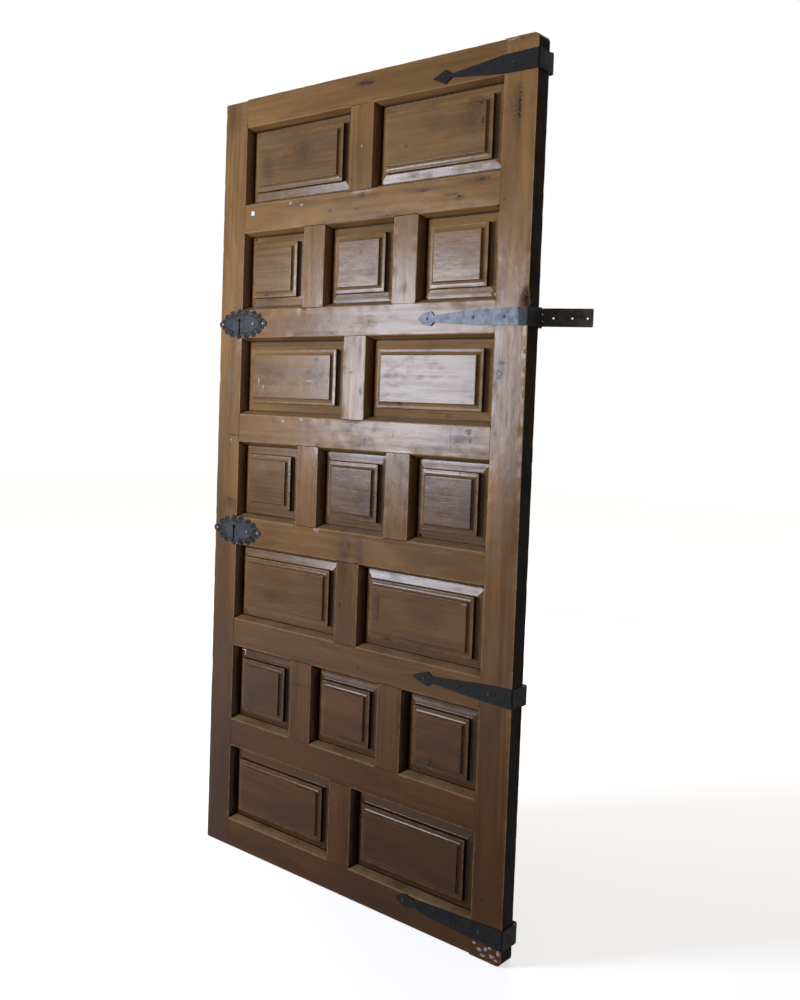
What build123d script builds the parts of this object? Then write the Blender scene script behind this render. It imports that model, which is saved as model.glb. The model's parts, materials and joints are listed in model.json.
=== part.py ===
"""Panel door leaf: framed raised panels, wrap-round strap hinges, key plates and two rim locks."""

import math
import os

from build123d import *

os.makedirs("parts", exist_ok=True)

# The leaf stands on +Z, its front looks along -Y, and its hinge edge is at +X.
# The origin is the middle of the bottom rail's lower face.
LEAF_W = 1010.0
LEAF_H = 2050.0
LEAF_T = 43.0
STILE_W = 87.0
RAIL_H = 75.0
MUNTIN_W = 75.0
ROW_PANELS = (2, 3, 2, 3, 2, 3, 2)

# Wear and fitting of the stiles: one top is short, the other overshoots the rails and is rounded.
LOCK_STILE_SHORT = 3.0
HINGE_STILE_HORN = 2.0
HINGE_STILE_FOOT = 3.0
WORN_CORNER_R = 14.0

# Joinery
TENON_L = 60.0
TENON_T = 14.0
END_SHOULDER = 20.0
MUNTIN_TENON_L = 22.0
GROOVE_DEPTH = 10.0
GROOVE_T = 9.0
RECESS = 24.0
SPLAY_W = 10.0
SPLAY_DEPTH = 21.0

# Raised panels
TONGUE_L = 8.5
TONGUE_PLAY = 0.3
BEVEL_W = 22.0
BEVEL_RISE = 7.5
QUIRK_RISE = 7.5
LIST_W = 4.5
COVE_W = 10.5
COVE_RISE = 5.5
COVE_STEPS = 4
FIELD_STEP = 1.5

# Strap hinges
PLATE_T = 3.5
PIN_R = 5.0
BEND_R = 4.5
EYE_GAP = 0.6
EYE_DOME = 2.0
RUNNING_GAP = 0.05
MIDDLE_KNUCKLE_H = 16.0
KNUCKLE_GAP = 0.4
PIN_HEAD_R = 7.0
PIN_HEAD_H = 2.5
FRAME_LEAF_L = 118.0
FRAME_LEAF_H = 40.5
FRAME_LEAF_RISE = 1.4
FRAME_LEAF_NECK = 7.5
FRAME_LEAF_CORNER_R = 3.0
FRAME_LEAF_ANGLE = 22.0
FRAME_LEAF_HOLES = (31.0, 72.5, 106.0)
FRAME_LEAF_HOLE_R = 2.1

# Nails and screws
SHANK_R = 2.0
SHANK_L = 18.0
HEAD_R = 4.2
HEAD_H = 1.8

# Key plates and keyholes
KEY_X = -LEAF_W / 2 + 79.0
KEY_BOW_R = 5.5
KEY_SLOT_W = 5.6
KEY_H = 44.0
KEY_BOW_ABOVE_RAIL = 9.0
KEY_PLATE_X = -LEAF_W / 2 + 91.0
KEY_PLATE_T = 2.0
KEY_PLATE_CORE = (76.0, 34.0)
KEY_PLATE_LOBES = 16
KEY_PLATE_LOBE_R = 9.5
KEY_PLATE_FINIAL_X = 85.0
KEY_PLATE_FINIAL_R = 9.0
KEY_PLATE_SCREWS = (-78.0, 42.0, 82.0)
PIERCING_R = 2.2
LOCK_RAILS = (2, 4)

# Rim locks on the back
LOCK_PLATE_L = 170.0
LOCK_PLATE_H = 110.0
LOCK_PLATE_T = 2.5
LOCK_CASE_L = 150.0
LOCK_CASE_H = 104.0
LOCK_CASE_DEPTH = 24.0
LOCK_WALL = 2.5
LOCK_RAISE = 5.0
BOLT_L = 118.0
BOLT_H = 18.0
BOLT_T = 12.0
BOLT_RAISE = 28.0
BOLT_PLAY = 0.3
BOLT_NOTCH_W = 14.0
BOLT_NOTCH_H = 7.0
GUIDE_X = 98.0

FRONT = -LEAF_T / 2
BACK = LEAF_T / 2
LOCK_EDGE = -LEAF_W / 2
HINGE_EDGE = LEAF_W / 2
ROWS = len(ROW_PANELS)
INNER_W = LEAF_W - 2 * STILE_W
OPENING_H = (LEAF_H - (ROWS + 1) * RAIL_H) / ROWS
GROOVE_Y = FRONT + RECESS + GROOVE_T / 2
EYE_R = PIN_R + PLATE_T
AXIS_X = HINGE_EDGE + PLATE_T - EYE_R
AXIS_Y = BACK + EYE_GAP + EYE_R

# Each strap: height below the leaf's top, half heights along its length from the hinge edge,
# the tip's neck, barb and point, how far the tip's sides bow out, the eye's height, and its fixings.
STRAPS = {
    "strap_top": {
        "drop": 54.0, "body": ((0, 21.5), (87, 20.3), (231, 4.0)), "barb": (249, 16.2),
        "point": 285.0, "bow": 0.0, "eye_h": 47.0, "fixings": (60.5, 253.0),
    },
    "strap_lock_rail": {
        "drop": 603.0, "body": ((0, 20.5), (145, 16.8), (257, 8.4)), "barb": (265, 16.8),
        "point": 303.0, "bow": 5.5, "eye_h": 41.0, "fixings": (60.5, 144.5, 276.0),
    },
    "strap_third": {
        "drop": 1444.0, "body": ((0, 22.3), (82, 19.0), (223, 8.0)), "barb": (235, 16.6),
        "point": 281.0, "bow": 2.0, "eye_h": 45.0, "fixings": (60.5, 144.5, 246.0),
    },
    "strap_bottom": {
        "drop": 1991.0, "body": ((0, 23.5), (84, 19.8), (222, 14.8), (250, 7.8)), "barb": (277, 16.8),
        "point": 307.0, "bow": 2.5, "eye_h": 48.0, "fixings": (60.5, 144.5, 284.0),
    },
}
LEAF_STRAP = "strap_lock_rail"

# Sides of an opening, against the clock as seen from the front
LEFT_SIDE, LOWER_SIDE, RIGHT_SIDE, UPPER_SIDE = range(4)


def save(piece, name):
    """Label a finished piece and write it."""
    piece.part.label = name
    export_step(piece.part, f"parts/{name}.step")


def rail_center(index):
    """Height of a rail's middle, counted from the top."""
    return LEAF_H - RAIL_H / 2 - index * (RAIL_H + OPENING_H)


def opening_w(row):
    """Width of one opening in a row of panels."""
    count = ROW_PANELS[row]
    return (INNER_W - (count - 1) * MUNTIN_W) / count


def opening_center(row, column):
    """Middle of an opening, as (x, z)."""
    x = -INNER_W / 2 + opening_w(row) / 2 + column * (opening_w(row) + MUNTIN_W)
    z = rail_center(row) - RAIL_H / 2 - OPENING_H / 2
    return x, z


def front_plane(x, y, z):
    """A plane that faces the front, with its x along +X and its y along +Z."""
    return Plane(origin=(x, y, z), x_dir=(1, 0, 0), z_dir=(0, -1, 0))


def opening_face(row, column, inset, depth):
    """An opening's outline, drawn in by an inset, at a depth behind the leaf's face."""
    x, z = opening_center(row, column)
    with BuildSketch(front_plane(x, FRONT + depth, z)) as outline:
        Rectangle(opening_w(row) - 2 * inset, OPENING_H - 2 * inset)
    return outline.sketch.face()


def splayed_edge(row, column, side):
    """Add the splayed and grooved strip along one side of an opening, with mitred ends."""
    x, z = opening_center(row, column)
    half_w, half_h = opening_w(row) / 2, OPENING_H / 2
    corners = [(-half_w, half_h), (-half_w, -half_h), (half_w, -half_h), (half_w, half_h)]
    start, end = corners[side], corners[(side + 1) % 4]
    inner = [(px - math.copysign(SPLAY_W, px), pz - math.copysign(SPLAY_W, pz)) for px, pz in (end, start)]
    with BuildSketch(front_plane(x, FRONT, z)) as strip:
        with BuildLine() as outline:
            Polyline(start, end, *inner, close=True)
        make_face(outline.edges())
    extrude(strip.sketch, amount=-LEAF_T)
    mouth = opening_face(row, column, 0, 0)
    throat = opening_face(row, column, SPLAY_W, SPLAY_DEPTH)
    loft(sections=[mouth, throat], mode=Mode.SUBTRACT)
    with Locations((x, GROOVE_Y, z)):
        reach = 2 * (GROOVE_DEPTH - SPLAY_W)
        Box(opening_w(row) + reach, GROOVE_T, OPENING_H + reach, mode=Mode.SUBTRACT)


def rail_tenons(index, mode):
    """Both tenons of a rail: an end rail's tenon keeps a deeper shoulder on its outer side."""
    low = END_SHOULDER if index == ROWS else GROOVE_DEPTH
    high = END_SHOULDER if index == 0 else GROOVE_DEPTH
    z = rail_center(index) + (low - high) / 2
    with Locations((-INNER_W / 2 - TENON_L / 2, 0, z), (INNER_W / 2 + TENON_L / 2, 0, z)):
        Box(TENON_L, TENON_T, RAIL_H - low - high, mode=mode)


def muntin_x(row):
    """Middle of each muntin in a row."""
    step = opening_w(row) + MUNTIN_W
    return [-INNER_W / 2 + (number + 1) * step - MUNTIN_W / 2 for number in range(ROW_PANELS[row] - 1)]


def muntin_tenons(row, x, mode):
    """The two stub tenons of a muntin."""
    z = opening_center(row, 0)[1]
    reach = OPENING_H / 2 + MUNTIN_TENON_L / 2
    with Locations((x, 0, z - reach), (x, 0, z + reach)):
        Box(MUNTIN_W - 2 * GROOVE_DEPTH, TENON_T, MUNTIN_TENON_L, mode=mode)


def key_z(rail):
    """Height of a keyhole's round bow."""
    return rail_center(rail) + KEY_BOW_ABOVE_RAIL


def keyhole():
    """Keyhole outline about the middle of its bow, a narrow slot hanging below it."""
    drop = KEY_H - KEY_BOW_R
    Circle(KEY_BOW_R)
    with Locations((0, -drop / 2)):
        Rectangle(KEY_SLOT_W, drop)


def cut_keyholes(rails):
    """Cut the keyways of some rails right through the leaf."""
    for rail in rails:
        with BuildSketch(front_plane(KEY_X, FRONT, key_z(rail))) as keyway:
            keyhole()
        extrude(keyway.sketch, amount=-LEAF_T, mode=Mode.SUBTRACT)


def strap_fixings(names):
    """Places of the fixings of some straps, as (x, z)."""
    return [
        (HINGE_EDGE - far, LEAF_H - STRAPS[name]["drop"])
        for name in names for far in STRAPS[name]["fixings"]
    ]


def key_plate_fixings():
    """Places of the key plates' screws, as (x, z)."""
    return [(KEY_PLATE_X + across, rail_center(rail)) for rail in LOCK_RAILS for across in KEY_PLATE_SCREWS]


def lock_fixings():
    """Places of the lock plates' screws, two in the stile and two in the rail, as (x, z)."""
    inset = 8.0
    places = []
    for rail in LOCK_RAILS:
        z = rail_center(rail)
        for rise in (-40.0, 50.0):
            places.append((LOCK_EDGE + inset, z + rise))
        for rise in (-26.0, 26.0):
            places.append((LOCK_EDGE + LOCK_PLATE_L - inset, z + rise))
    return places


def inside(places, x0, x1, z0, z1):
    """The places that lie within a box."""
    return [(x, z) for x, z in places if x0 < x < x1 and z0 < z < z1]


def pilot_holes(x0, x1, z0, z1):
    """Drill the front and back fixings that fall within a box."""
    front = inside(strap_fixings(STRAPS) + key_plate_fixings(), x0, x1, z0, z1)
    back = inside(lock_fixings(), x0, x1, z0, z1)
    for places, y, depth in ((front, FRONT, -SHANK_L), (back, BACK, SHANK_L)):
        for x, z in places:
            with BuildSketch(front_plane(x, y, z)) as pilot:
                Circle(SHANK_R)
            extrude(pilot.sketch, amount=depth, mode=Mode.SUBTRACT)


def make_stiles():
    """The two full-height uprights, mortised for every rail and grooved for the outer panels."""
    lock_x = LOCK_EDGE + STILE_W / 2
    with BuildPart() as stile_lock:
        with Locations((lock_x, 0, (LEAF_H - LOCK_STILE_SHORT) / 2)):
            Box(STILE_W, LEAF_T, LEAF_H - LOCK_STILE_SHORT)
        for index in range(ROWS + 1):
            rail_tenons(index, Mode.SUBTRACT)
        for row in range(ROWS):
            splayed_edge(row, 0, LEFT_SIDE)
        cut_keyholes(LOCK_RAILS)
        pilot_holes(LOCK_EDGE, LOCK_EDGE + STILE_W, 0, LEAF_H)
    save(stile_lock, "stile_lock")

    length = LEAF_H + HINGE_STILE_HORN + HINGE_STILE_FOOT
    hinge_x = HINGE_EDGE - STILE_W / 2
    with BuildPart() as stile_hinge:
        with Locations((hinge_x, 0, length / 2 - HINGE_STILE_FOOT)):
            Box(STILE_W, LEAF_T, length)
        fillet(stile_hinge.edges().filter_by(Axis.Y).group_by(Axis.X)[-1], WORN_CORNER_R)
        for index in range(ROWS + 1):
            rail_tenons(index, Mode.SUBTRACT)
        for row in range(ROWS):
            splayed_edge(row, ROW_PANELS[row] - 1, RIGHT_SIDE)
        pilot_holes(HINGE_EDGE - STILE_W, HINGE_EDGE, 0, LEAF_H)
    save(stile_hinge, "stile_hinge")


def make_rails():
    """The cross rails, tenoned into the stiles and mortised for the muntins above and below."""
    for index in range(ROWS + 1):
        z = rail_center(index)
        with BuildPart() as rail:
            with Locations((0, 0, z)):
                Box(INNER_W, LEAF_T, RAIL_H)
            rail_tenons(index, Mode.ADD)
            for row, side in ((index - 1, LOWER_SIDE), (index, UPPER_SIDE)):
                if not 0 <= row < ROWS:
                    continue
                for column in range(ROW_PANELS[row]):
                    splayed_edge(row, column, side)
                for x in muntin_x(row):
                    muntin_tenons(row, x, Mode.SUBTRACT)
            if index in LOCK_RAILS:
                cut_keyholes([index])
            reach = INNER_W / 2 + TENON_L
            pilot_holes(-reach, reach, z - RAIL_H / 2, z + RAIL_H / 2)
        save(rail, f"rail_{index + 1}")


def make_muntins():
    """The short uprights between the panels of a row."""
    for row in range(ROWS):
        for number, x in enumerate(muntin_x(row)):
            with BuildPart() as muntin:
                with Locations((x, 0, opening_center(row, 0)[1])):
                    Box(MUNTIN_W, LEAF_T, OPENING_H)
                muntin_tenons(row, x, Mode.ADD)
                splayed_edge(row, number, RIGHT_SIDE)
                splayed_edge(row, number + 1, LEFT_SIDE)
            save(muntin, f"muntin_{row + 1}_{number + 1}")


def panel_profile():
    """The panel's face from the opening's edge inward, as (inset, depth behind the leaf's face)."""
    depth = RECESS
    inset = SPLAY_W
    profile = [(inset, depth)]
    depth -= BEVEL_RISE
    inset += BEVEL_W
    profile.append((inset, depth))
    depth -= QUIRK_RISE
    profile.append((inset, depth))
    start = inset + LIST_W
    profile.append((start, depth))
    for step in range(1, COVE_STEPS + 1):
        turn = math.radians(90 * step / COVE_STEPS)
        profile.append((start + COVE_W * math.sin(turn), depth - COVE_RISE * (1 - math.cos(turn))))
    profile.append((start + COVE_W, depth - COVE_RISE - FIELD_STEP))
    return profile


def make_panels():
    """Raised and fielded panels: tongue, broad bevel, quirk and list, hollow, and a flat field."""
    profile = panel_profile()
    for row in range(ROWS):
        for column in range(ROW_PANELS[row]):
            with BuildPart() as panel:
                tongue = opening_face(row, column, SPLAY_W - TONGUE_L, RECESS)
                extrude(tongue, amount=-(GROOVE_T - TONGUE_PLAY))
                for (inset, depth), (next_inset, next_depth) in zip(profile, profile[1:]):
                    low = opening_face(row, column, inset, depth)
                    if inset == next_inset:
                        extrude(low, amount=depth - next_depth)
                    elif depth != next_depth:
                        loft(sections=[low, opening_face(row, column, next_inset, next_depth)])
            save(panel, f"panel_{row + 1}_{column + 1}")


def strap_outline(strap):
    """Front view of a strap about its middle line, its hinge edge at x = 0 and its arrow tip at -x."""
    far, half = strap["barb"]
    point = strap["point"]
    middle = ((far + point) / 2, half / 2 + strap["bow"])
    bend_start = BEND_R - PLATE_T
    body = [(-max(reach, bend_start), height) for reach, height in strap["body"]]
    with BuildLine() as outline:
        Polyline((-bend_start, 0), *body, (-far, half))
        if strap["bow"]:
            ThreePointArc((-far, half), (-middle[0], middle[1]), (-point, 0))
        else:
            Line((-far, half), (-point, 0))
        mirror(about=Plane.XZ)
    make_face(outline.edges())


def strap_wrap():
    """Section of the strap where it bends round the front arris and runs back to the eye."""
    outer = HINGE_EDGE + PLATE_T
    face = FRONT - PLATE_T
    bend_x, bend_y = outer - BEND_R, face + BEND_R
    with BuildLine() as outline:
        RadiusArc((bend_x, face), (outer, bend_y), -BEND_R)
        Polyline(
            (outer, bend_y), (outer, AXIS_Y), (HINGE_EDGE, AXIS_Y), (HINGE_EDGE, FRONT),
            (bend_x, FRONT), (bend_x, face),
        )
    make_face(outline.edges())


def barrel(z, height, bore, outer_r=EYE_R):
    """Turn a round-ended barrel about the hinge axis."""
    with BuildSketch(front_plane(AXIS_X, AXIS_Y, z)) as section:
        with Locations(((bore + outer_r) / 2, 0)):
            Rectangle(outer_r - bore, height)
        fillet(section.vertices().group_by(Axis.X)[-1], EYE_DOME)
    revolve(section.sketch, axis=Axis((AXIS_X, AXIS_Y, z), (0, 0, 1)))


def make_straps():
    """Straps that lie on the front, wrap the hinge edge and end in an eye behind the rear corner."""
    for name, strap in STRAPS.items():
        z = LEAF_H - strap["drop"]
        height = 2 * strap["body"][0][1]
        with BuildPart() as piece:
            with BuildSketch(front_plane(HINGE_EDGE, FRONT, z)):
                strap_outline(strap)
            extrude(amount=PLATE_T)
            with BuildSketch(Plane.XY.offset(z - height / 2)):
                strap_wrap()
            extrude(amount=height)
            barrel(z, strap["eye_h"], PIN_R)
            with BuildSketch(front_plane(HINGE_EDGE, FRONT, z)):
                with Locations([(-far, 0) for far in strap["fixings"]]):
                    Circle(SHANK_R)
            extrude(amount=PLATE_T, mode=Mode.SUBTRACT)
            if name == LEAF_STRAP:
                with Locations((AXIS_X, AXIS_Y, z)):
                    Cylinder(EYE_R + KNUCKLE_GAP, MIDDLE_KNUCKLE_H + 2 * KNUCKLE_GAP, mode=Mode.SUBTRACT)
        save(piece, name)


def make_frame_leaf():
    """The one frame plate left on the door, with its middle knuckle on a riveted pin."""
    z = LEAF_H - STRAPS[LEAF_STRAP]["drop"]
    turn = math.radians(FRAME_LEAF_ANGLE)
    along = (math.cos(turn), math.sin(turn), 0)
    forward = (math.sin(turn), -math.cos(turn), 0)
    rear = Plane(origin=(AXIS_X, AXIS_Y, z), x_dir=along, z_dir=forward).offset(-EYE_R)
    with BuildPart() as frame_leaf:
        barrel(z, MIDDLE_KNUCKLE_H, PIN_R)
        with BuildSketch(rear) as plate:
            with Locations(((FRAME_LEAF_NECK + FRAME_LEAF_L) / 2, FRAME_LEAF_RISE)):
                Rectangle(FRAME_LEAF_L - FRAME_LEAF_NECK, FRAME_LEAF_H)
            fillet(plate.vertices().group_by(Axis.X)[-1], FRAME_LEAF_CORNER_R)
            with Locations((FRAME_LEAF_NECK, 0)):
                Rectangle(2 * FRAME_LEAF_NECK, MIDDLE_KNUCKLE_H - 2 * EYE_DOME)
            with Locations([(far, 0) for far in FRAME_LEAF_HOLES]):
                Circle(FRAME_LEAF_HOLE_R, mode=Mode.SUBTRACT)
        extrude(plate.sketch, amount=PLATE_T)
        with Locations((AXIS_X, AXIS_Y, z)):
            Cylinder(PIN_R + RUNNING_GAP, MIDDLE_KNUCKLE_H, mode=Mode.SUBTRACT)
    save(frame_leaf, "hinge_frame_leaf")

    eye_h = STRAPS[LEAF_STRAP]["eye_h"]
    with BuildPart() as pin:
        with Locations((AXIS_X, AXIS_Y, z)):
            Cylinder(PIN_R, eye_h)
        for end in (-1, 1):
            with Locations((AXIS_X, AXIS_Y, z + end * (eye_h + PIN_HEAD_H) / 2)):
                Cylinder(PIN_HEAD_R, PIN_HEAD_H)
        chamfer(pin.edges().group_by(Axis.Z)[0] + pin.edges().group_by(Axis.Z)[-1], 1.2)
    save(pin, "hinge_pin")


def key_plate_outline():
    """A lobed oval with a finial at each end, pierced between its lobes."""
    core_x, core_z = KEY_PLATE_CORE
    Ellipse(core_x, core_z)
    for number in range(KEY_PLATE_LOBES):
        turn = 2 * math.pi * (number + 0.5) / KEY_PLATE_LOBES
        with Locations((core_x * math.cos(turn), (core_z - 2) * math.sin(turn))):
            Circle(KEY_PLATE_LOBE_R)
            Circle(PIERCING_R, mode=Mode.SUBTRACT)
    with Locations((-KEY_PLATE_FINIAL_X, 0), (KEY_PLATE_FINIAL_X, 0)):
        Circle(KEY_PLATE_FINIAL_R)


def make_key_plates():
    """Pierced key plates nailed to the front over each keyhole."""
    for name, rail in zip(("key_plate_upper", "key_plate_lower"), LOCK_RAILS):
        z = rail_center(rail)
        with BuildPart() as plate:
            with BuildSketch(front_plane(KEY_PLATE_X, FRONT, z)):
                key_plate_outline()
            extrude(amount=KEY_PLATE_T)
            with BuildSketch(front_plane(KEY_PLATE_X, FRONT, z)):
                with Locations([(across, 0) for across in KEY_PLATE_SCREWS]):
                    Circle(SHANK_R)
            extrude(amount=KEY_PLATE_T, mode=Mode.SUBTRACT)
            with BuildSketch(front_plane(KEY_X, FRONT, key_z(rail))):
                keyhole()
            extrude(amount=KEY_PLATE_T, mode=Mode.SUBTRACT)
        save(plate, name)


def make_locks():
    """A rim lock behind each keyhole: a plate on the leaf, a hollow case, and a sliding bolt."""
    plate_y = BACK + LOCK_PLATE_T
    for word, rail in zip(("upper", "lower"), LOCK_RAILS):
        z = rail_center(rail) + LOCK_RAISE
        bolt_z = rail_center(rail) + BOLT_RAISE
        bolt_y = plate_y + BOLT_PLAY + BOLT_T / 2
        with BuildPart() as plate:
            with Locations((LOCK_EDGE + LOCK_PLATE_L / 2, BACK + LOCK_PLATE_T / 2, z)):
                Box(LOCK_PLATE_L, LOCK_PLATE_T, LOCK_PLATE_H)
            fillet(plate.edges().filter_by(Axis.Y), 4.0)
            for x, screw_z in inside(lock_fixings(), LOCK_EDGE, 0, z - LOCK_PLATE_H, z + LOCK_PLATE_H):
                with BuildSketch(front_plane(x, plate_y, screw_z)):
                    Circle(SHANK_R)
                extrude(amount=LOCK_PLATE_T, mode=Mode.SUBTRACT)
            with BuildSketch(front_plane(KEY_X, plate_y, key_z(rail))):
                keyhole()
            extrude(amount=LOCK_PLATE_T, mode=Mode.SUBTRACT)
        save(plate, f"lock_plate_{word}")

        case_x = LOCK_EDGE + LOCK_CASE_L / 2
        with BuildPart() as case:
            with Locations((case_x, plate_y + LOCK_CASE_DEPTH / 2, z)):
                Box(LOCK_CASE_L, LOCK_CASE_DEPTH, LOCK_CASE_H)
            fillet(case.faces().sort_by(Axis.Y)[-1].edges(), 2.0)
            with Locations((case_x, plate_y + (LOCK_CASE_DEPTH - LOCK_WALL) / 2, z)):
                Box(
                    LOCK_CASE_L - 2 * LOCK_WALL, LOCK_CASE_DEPTH - LOCK_WALL, LOCK_CASE_H - 2 * LOCK_WALL,
                    mode=Mode.SUBTRACT,
                )
            with Locations((LOCK_EDGE + GUIDE_X, plate_y + (LOCK_CASE_DEPTH - LOCK_WALL) / 2, bolt_z)):
                Box(LOCK_WALL, LOCK_CASE_DEPTH - LOCK_WALL, BOLT_H + 4 * LOCK_WALL)
            with Locations((LOCK_EDGE + BOLT_L / 2, bolt_y, bolt_z)):
                Box(BOLT_L, BOLT_T + 2 * BOLT_PLAY, BOLT_H + 2 * BOLT_PLAY, mode=Mode.SUBTRACT)
            with BuildSketch(front_plane(KEY_X, plate_y + LOCK_CASE_DEPTH, key_z(rail))):
                keyhole()
            extrude(amount=LOCK_CASE_DEPTH, mode=Mode.SUBTRACT)
        save(case, f"lock_case_{word}")

        with BuildPart() as bolt:
            with Locations((LOCK_EDGE + BOLT_L / 2, bolt_y, bolt_z)):
                Box(BOLT_L, BOLT_T, BOLT_H)
            chamfer(bolt.faces().sort_by(Axis.X)[0].edges(), 1.5)
            with Locations((KEY_X, bolt_y, bolt_z - BOLT_H / 2 + BOLT_NOTCH_H / 2)):
                Box(BOLT_NOTCH_W, BOLT_T, BOLT_NOTCH_H, mode=Mode.SUBTRACT)
        save(bolt, f"lock_bolt_{word}")


def make_fixings():
    """Round-headed nails and screws, one group of separate solids for each set."""
    black = [name for name in STRAPS if name != LEAF_STRAP]
    groups = (
        ("strap_nails", strap_fixings(black), FRONT - PLATE_T, -1),
        ("strap_screws", strap_fixings([LEAF_STRAP]), FRONT - PLATE_T, -1),
        ("key_plate_nails", key_plate_fixings(), FRONT - KEY_PLATE_T, -1),
        ("lock_screws", lock_fixings(), BACK + LOCK_PLATE_T, 1),
    )
    for name, places, seat, way in groups:
        plate_t = abs(seat) - LEAF_T / 2
        with BuildPart() as fixings:
            for x, z in places:
                with BuildSketch(Plane(origin=(x, seat, z), x_dir=(1, 0, 0), z_dir=(0, way, 0))):
                    Circle(HEAD_R)
                extrude(amount=HEAD_H, taper=35)
                with BuildSketch(Plane(origin=(x, seat, z), x_dir=(1, 0, 0), z_dir=(0, way, 0))):
                    Circle(SHANK_R)
                extrude(amount=-(plate_t + SHANK_L))
        save(fixings, name)


make_stiles()
make_rails()
make_muntins()
make_panels()
make_straps()
make_frame_leaf()
make_key_plates()
make_locks()
make_fixings()
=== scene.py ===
import json
import math
import random

import bmesh
import bpy
from mathutils import Euler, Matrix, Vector, noise


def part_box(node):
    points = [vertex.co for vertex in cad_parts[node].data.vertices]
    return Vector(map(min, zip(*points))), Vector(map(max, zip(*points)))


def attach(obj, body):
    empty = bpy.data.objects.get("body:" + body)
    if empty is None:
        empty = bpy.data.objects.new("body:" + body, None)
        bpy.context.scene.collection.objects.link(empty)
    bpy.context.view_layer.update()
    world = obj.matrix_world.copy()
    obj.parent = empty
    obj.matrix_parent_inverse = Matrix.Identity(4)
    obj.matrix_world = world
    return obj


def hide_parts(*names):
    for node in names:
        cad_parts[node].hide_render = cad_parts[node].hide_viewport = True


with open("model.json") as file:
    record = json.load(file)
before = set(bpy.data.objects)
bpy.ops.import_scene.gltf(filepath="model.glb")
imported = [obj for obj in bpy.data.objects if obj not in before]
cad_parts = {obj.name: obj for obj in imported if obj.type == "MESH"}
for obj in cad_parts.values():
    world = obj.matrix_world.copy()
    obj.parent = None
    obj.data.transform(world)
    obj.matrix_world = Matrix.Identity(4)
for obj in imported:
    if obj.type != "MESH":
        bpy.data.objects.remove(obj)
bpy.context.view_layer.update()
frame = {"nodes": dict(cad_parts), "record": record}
NODES = frame["nodes"]
BODY_OF = {node: body for body, nodes in frame["record"]["behaviour"]["bodies"].items() for node in nodes}

# Sizes worked out from the frame
LEAF_LOW, LEAF_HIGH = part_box("stile_hinge")
FRONT = LEAF_LOW.y
BACK = LEAF_HIGH.y
LOCK_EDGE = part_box("stile_lock")[0].x
HINGE_EDGE = LEAF_HIGH.x
RAIL_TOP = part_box("rail_1")[1].z

# The view, in metres and degrees
CAMERA_AT = (1.7545, -1.9325, 1.2494)
CAMERA_TURN = (87.0147, -2.0676, 39.9543)
CAMERA_LENS = 37.572
CAMERA_SENSOR = 36.0
CAMERA_SHIFT_Y = -0.0427

# Light: a window to the left of the viewer, a softer one behind the leaf, and an even surround
WINDOW_AT = (-2.1, -2.9, 1.47)
WINDOW_AIM = (0.2, FRONT, 1.3)
WINDOW_SIZE = (1.02, 1.15)
WINDOW_POWER = 158.0
WINDOW_TINT = (0.78, 0.85, 1.0)
FILL_AT = (-1.7, 3.3, 1.3)
FILL_AIM = (0.0, BACK, 1.0)
FILL_SIZE = (1.8, 1.8)
FILL_POWER = 66.0
FILL_TINT = (1.0, 0.97, 0.93)
AMBIENT = 0.20
AMBIENT_TINT = (1.0, 0.94, 0.88, 1.0)
WHITE = (1.0, 1.0, 1.0, 1.0)

# The floor glows where it is seen, and more so away from the leaf, past the shadow
FLOOR_SIZE = 24.0
FLOOR_GAP = 0.0002
GLOW_REACH = (1.0, 5.0)
GLOW = (0.62, 0.84)

# The splayed edges of the openings, the joints, and the panels in each row
SPLAY_W = 0.010
SPLAY_DEPTH = 0.0215
TONGUE_L = 0.0085
MUNTIN_TENON_L = 0.022
ROW_PANELS = (2, 3, 2, 3, 2, 3, 2)

# Where the panel's ridges, list and field begin, measured in from the foot of its bevel
RIDGE_START = 0.020
LIST_START = 0.022
LIST_END = 0.0265
FIELD_START = 0.037

# A bevel is planed slightly round: how much deeper it ends at the list, how late it falls, and the depths
# behind the leaf's face that it lies between
BEVEL_DROP = 0.0031
BEVEL_CURVE = 1.35
BEVEL_NEAR = 0.0145
BEVEL_FAR = 0.0245

# Mesh work: the weld distance, the angles that make an edge flat, sharp or an arris, and the cutting steps
WELD = 1e-5
FLAT_ANGLE = math.radians(1.0)
SHARP_ANGLE = math.radians(38.0)
BOARD_ANGLE = math.radians(45)
PANEL_ANGLE = math.radians(30)
IRON_ANGLE = math.radians(50)
CELL = 0.010
CELL_ACROSS = 0.012
CELL_THROUGH = 0.0107
CELL_IRON = 0.007

# Wear: the rounding of each kind of arris, and how deep the surfaces are worn, chipped and dented
BOARD_ARRIS = 0.0014
BOARD_WEAR = 0.00035
CHIP_REACH = 0.0026
CHIP_DEPTH = 0.0016
PANEL_ARRIS = 0.0006
PANEL_WEAR = 0.0004
IRON_ARRIS = 0.0006
IRON_DENT = 0.00025
PLATE_ARRIS = 0.0003
PLATE_DENT = 0.00006

# The splintered arris above the second strap: its ends, in mm down from the top, and its width at the foot
BRUISE_TOP = 541
BRUISE_FOOT = 586
BRUISE_W = 0.017
BRUISE_DEPTH = 0.012
BRUISE_SLOPE = 0.7

# A key plate's raised ornament: small scrolls on an oval ring, and a thin line on an inner one
SCROLLS = 16
SCROLL_RING = (0.076, 0.032)
SCROLL_SWEEP = math.radians(430)
SCROLL_STEPS = 14
SCROLL_R = 0.0082
SCROLL_SHRINK = 0.0052
SCROLL_RISE = 0.0004
WIRE_R = 0.0011
WIRE_SINK = 0.0003
LINE_RING = (0.066, 0.0245)
LINE_STEPS = 48

# The paper label, stuck on slightly askew with one corner lifting
LABEL_AT = (119.5, 306.8)
LABEL_SIZE = (0.0124, 0.0112)
LABEL_SKEW = (0.0003, 0.0004)
LABEL_T = 0.0005
LABEL_GAP = 0.0007
LABEL_LIFT = 0.0006

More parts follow.
